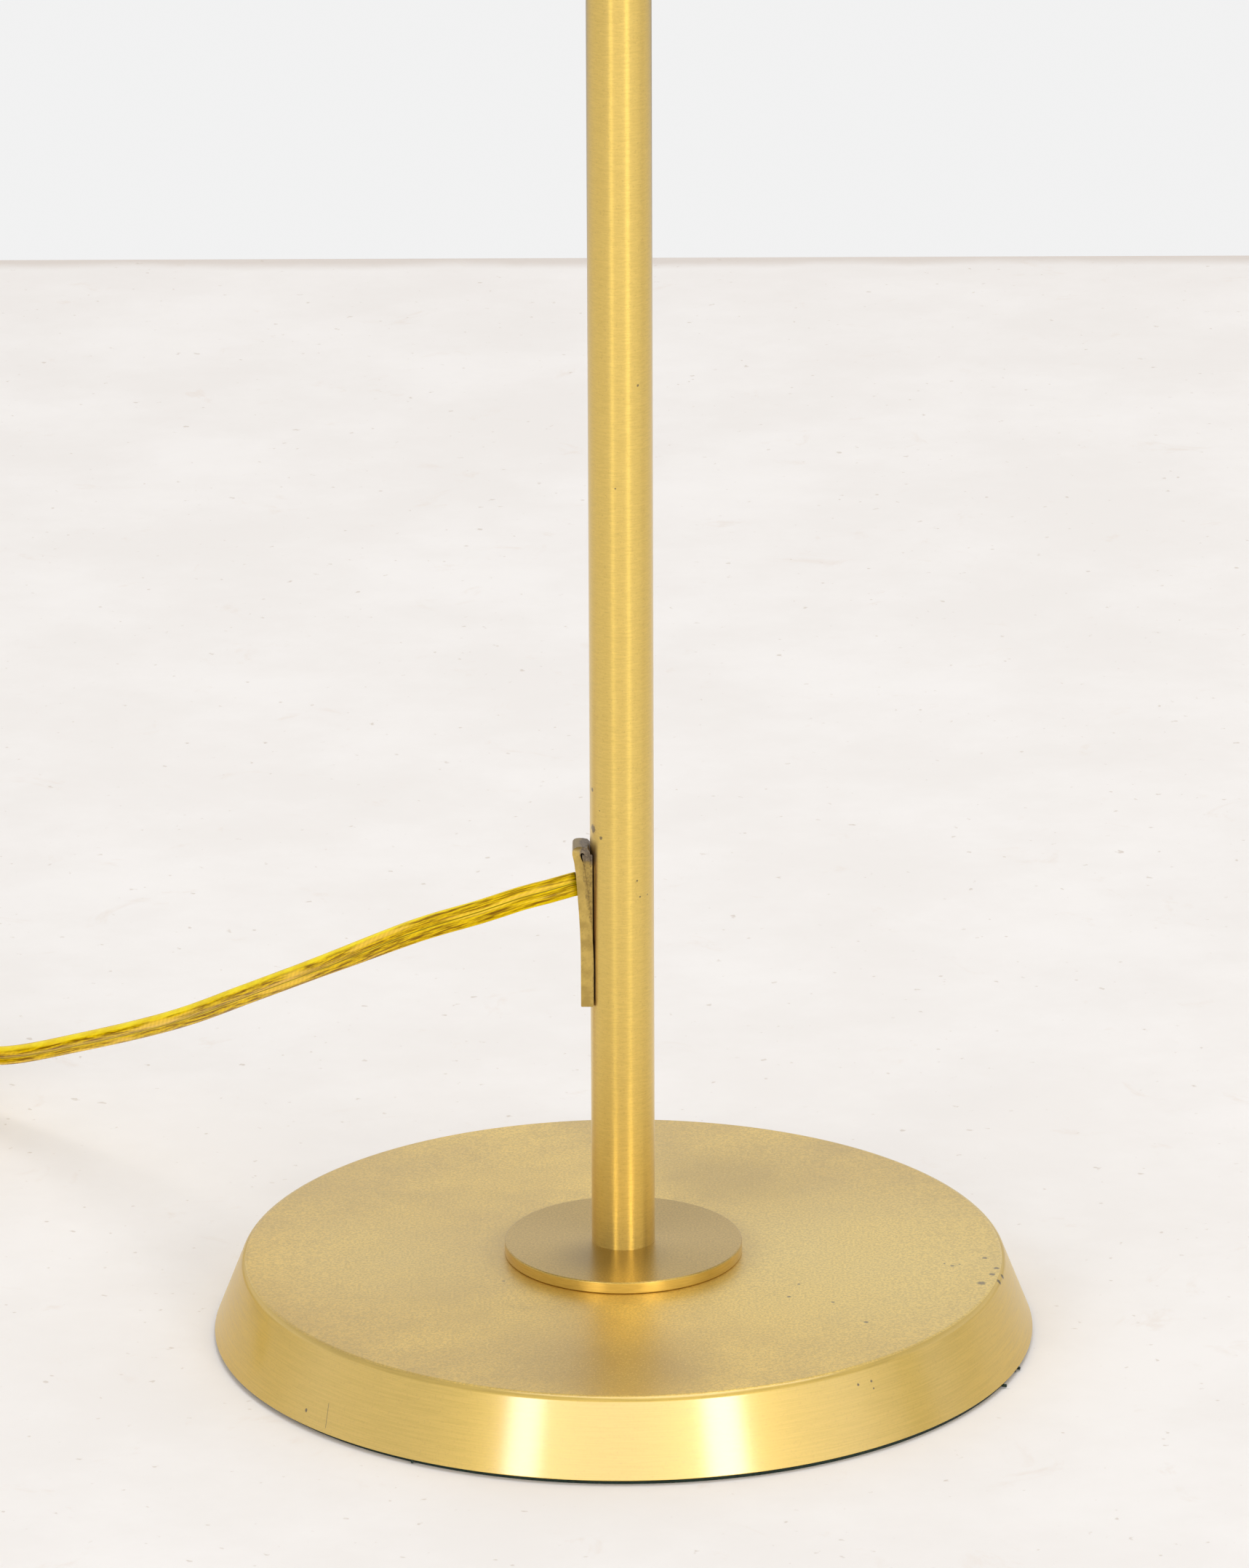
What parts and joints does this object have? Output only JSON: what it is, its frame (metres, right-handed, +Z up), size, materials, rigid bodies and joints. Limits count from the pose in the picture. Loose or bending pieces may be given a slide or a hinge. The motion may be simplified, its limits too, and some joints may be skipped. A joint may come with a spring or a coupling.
{
  "type": "arc floor lamp",
  "caption": "Satin brass floor lamp: round weighted base, slim pole, bent arm that swivels, and a dome shade on a friction knuckle, with a cord and plug.",
  "frame": {"origin": "on the floor, under the middle of the pole and the round base", "axes": "+Z up along the pole, +X along the arm's reach, -X on the cord's side"},
  "size_m": [0.9136, 0.3447, 1.6062],
  "materials": {
    "satin_brass": "satin, brushed along tubes and round turned pieces",
    "dull_brass": "aged satin, darkened at the fold",
    "plain_brass": "plain turned",
    "cast_iron": "as cast",
    "steel": "zinc plated",
    "green_felt": "felt",
    "black_plastic": "matte",
    "brown_phenolic": "moulded, half gloss",
    "natural_nylon": "natural",
    "fibre": "red vulcanised fibre",
    "gold_cord": "clear gold insulation over copper",
    "opal_glass": "soft white coating inside"
  },
  "bodies": {
    "stand": {"base_felt": "green_felt", "base_cover": "satin_brass", "base_weight": "cast_iron", "base_escutcheon": "satin_brass", "base_washer": "steel", "base_lock_washer": "steel", "base_nut": "steel", "base_stud": "steel", "pole_tube": "satin_brass", "pole_foot_bush": "plain_brass", "pole_top_bush": "satin_brass", "cord_plate": "dull_brass", "cord_sleeve": "black_plastic", "pole_wire": "gold_cord", "cord_run": "gold_cord", "cord_coil": "gold_cord", "cord_tail": "gold_cord", "cord_tie": "black_plastic", "plug_body": "gold_cord", "plug_blade_narrow": "plain_brass", "plug_blade_wide": "plain_brass"},
    "arm": {"swivel_spindle": "steel", "swivel_wave_washer": "steel", "swivel_nut": "steel", "swivel_slip_washer": "natural_nylon", "arm_collar": "satin_brass", "arm_tube": "satin_brass", "arm_wire": "gold_cord", "knuckle_fork": "satin_brass", "knuckle_washer_near": "fibre", "knuckle_washer_far": "fibre"},
    "head": {"knuckle_barrel": "satin_brass", "knuckle_screw_near": "plain_brass", "knuckle_screw_far": "plain_brass", "head_wire": "gold_cord", "shade_cup": "satin_brass", "cup_nut": "steel", "holder_body": "brown_phenolic", "holder_screw_shell": "plain_brass", "holder_contact": "plain_brass", "shade": "satin_brass", "shade_ring": "brown_phenolic", "bulb_tip": "black_plastic", "bulb_cap": "steel", "bulb_glass": "opal_glass"},
    "switch": {"switch_shaft": "plain_brass", "switch_knob": "brown_phenolic"}
  },
  "joints": [
    {"name": "arm_swivel", "type": "hinge", "parent": "stand", "child": "arm", "pos_m": [0, 0, 1.185], "axis": [0, 0, 1], "range_deg": [-170, 170]},
    {"name": "shade_tilt", "type": "hinge", "parent": "arm", "child": "head", "pos_m": [0.48501, 0, 1.44296], "axis": [0, 1, 0], "range_deg": [-60, 40]},
    {"name": "switch_turn", "type": "hinge", "parent": "head", "child": "switch", "pos_m": [0.48501, -0.03, 1.41446], "axis": [0, -1, 0], "continuous": true}
  ]
}
